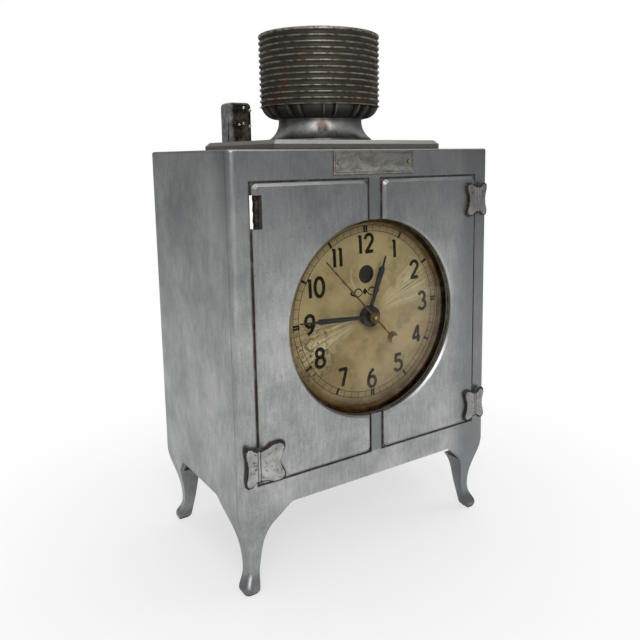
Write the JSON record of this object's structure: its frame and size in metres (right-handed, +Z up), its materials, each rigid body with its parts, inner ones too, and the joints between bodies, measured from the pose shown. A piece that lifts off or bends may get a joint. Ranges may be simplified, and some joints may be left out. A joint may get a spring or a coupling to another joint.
{
  "type": "electric mantel clock",
  "caption": "Electric mantel clock in a cast metal case shaped as a two-door refrigerator with a ribbed cooling drum on top and curved legs.",
  "frame": {"origin": "on the table, under the middle of the clock's outer box", "axes": "+X to the viewer's right along the front, +Y to the back, +Z up; the dial faces -Y"},
  "size_m": [0.127, 0.0866, 0.2223],
  "materials": {
    "case_metal": "half-polished bare cast metal, aged",
    "hinge_metal": "same casting metal, a little warmer",
    "plate_metal": "etched plate",
    "drum_metal": "dark tarnished ribbed metal",
    "neck_chrome": "polished flare",
    "bakelite": "black-brown moulding",
    "glass": "domed clear glass",
    "dial_paint": "aged ivory dial",
    "bezel_brass": "tarnished",
    "hand_black": "black lacquer",
    "hand_copper": "copper plated",
    "brass": "machined",
    "steel": "machined",
    "housing_steel": "drawn sheet, grey finish",
    "lamination": "stacked sheets, oiled",
    "copper": "spun copper",
    "winding": "varnished cloth tape over the coil",
    "phenolic": "brown laminate",
    "rubber": "moulded",
    "lead_cloth": "cloth-covered wire",
    "shutter_black": "dull black flag"
  },
  "bodies": {
    "case": {"case_front": "case_metal", "case_left_side": "case_metal", "case_right_side": "case_metal", "case_top": "case_metal", "case_floor": "case_metal", "leg_front_left": "case_metal", "leg_front_right": "case_metal", "leg_back_left": "case_metal", "leg_back_right": "case_metal", "nameplate": "plate_metal", "nameplate_pins": "plate_metal", "hinge_lower_left": "hinge_metal", "hinge_lower_right": "hinge_metal", "hinge_upper_right": "hinge_metal", "neck_collar": "neck_chrome", "drum_bowl": "drum_metal", "drum_shell": "drum_metal", "drum_tie_bolt": "steel", "tie_washer": "steel", "tie_nut": "steel", "control_box": "bakelite", "control_box_screw": "steel", "crystal": "glass", "dial_bezel": "bezel_brass", "dial_plate": "dial_paint", "dial_retaining_ring": "steel", "dial_feet": "brass", "front_plate": "brass", "back_plate": "brass", "pillars": "brass", "spacer_posts": "steel", "movement_bolts": "steel", "movement_housing": "housing_steel", "housing_screws": "steel", "rotor_capsule": "copper", "rotor_capsule_lid": "copper", "field_core": "lamination", "coil_bobbin": "phenolic", "coil_winding": "winding", "core_spacers": "brass", "core_screws": "steel", "indicator_stud": "brass", "cord_grommet": "rubber", "terminal_strip": "phenolic", "terminal_screws": "brass", "lead_wires": "lead_cloth"},
    "seconds": {"second_hand": "hand_copper", "seconds_arbor": "brass"},
    "motor_output": {"motor_pinion": "steel"},
    "intermediate": {"intermediate_wheel": "brass"},
    "centre": {"centre_wheel": "brass"},
    "minute": {"minute_hand": "hand_black", "minute_arbor": "brass", "clutch_spring": "steel"},
    "setting": {"motion_wheel": "brass", "set_knob": "bakelite"},
    "hour": {"hour_hand": "hand_black", "hour_wheel": "brass"},
    "rotor": {"rotor_disc": "steel"},
    "indicator": {"indicator_arm": "shutter_black"}
  },
  "joints": [
    {"name": "seconds_spin", "type": "hinge", "parent": "case", "child": "seconds", "pos_m": [0, -0.0157, 0.103], "axis": [0, 1, 0], "continuous": true},
    {"name": "motor_output_spin", "type": "hinge", "parent": "case", "child": "motor_output", "pos_m": [0, -0.0157, 0.0925], "axis": [0, 1, 0], "continuous": true},
    {"name": "intermediate_spin", "type": "hinge", "parent": "case", "child": "intermediate", "pos_m": [-0.01178, -0.0189, 0.1098], "axis": [0, 1, 0], "continuous": true},
    {"name": "centre_spin", "type": "hinge", "parent": "case", "child": "centre", "pos_m": [0, -0.0234, 0.103], "axis": [0, 1, 0], "continuous": true},
    {"name": "minute_spin", "type": "hinge", "parent": "case", "child": "minute", "pos_m": [0, -0.0277, 0.103], "axis": [0, 1, 0], "continuous": true},
    {"name": "setting_spin", "type": "hinge", "parent": "case", "child": "setting", "pos_m": [0.01147, -0.0277, 0.11103], "axis": [0, 1, 0], "continuous": true},
    {"name": "hour_spin", "type": "hinge", "parent": "case", "child": "hour", "pos_m": [0, -0.029, 0.103], "axis": [0, 1, 0], "continuous": true},
    {"name": "rotor_spin", "type": "hinge", "parent": "case", "child": "rotor", "pos_m": [0, -0.0027, 0.0925], "axis": [0, 1, 0], "continuous": true},
    {"name": "indicator_swing", "type": "hinge", "parent": "case", "child": "indicator", "pos_m": [-0.014, -0.03, 0.123], "axis": [0, 1, 0], "range_deg": [-38, 0]}
  ],
  "couplings": [
    {"joint": "motor_output_spin", "follows": "seconds_spin", "ratio": -4},
    {"joint": "intermediate_spin", "follows": "seconds_spin", "ratio": -0.13333},
    {"joint": "centre_spin", "follows": "seconds_spin", "ratio": 0.016667},
    {"joint": "setting_spin", "follows": "minute_spin", "ratio": -0.33333},
    {"joint": "hour_spin", "follows": "minute_spin", "ratio": 0.083333}
  ]
}
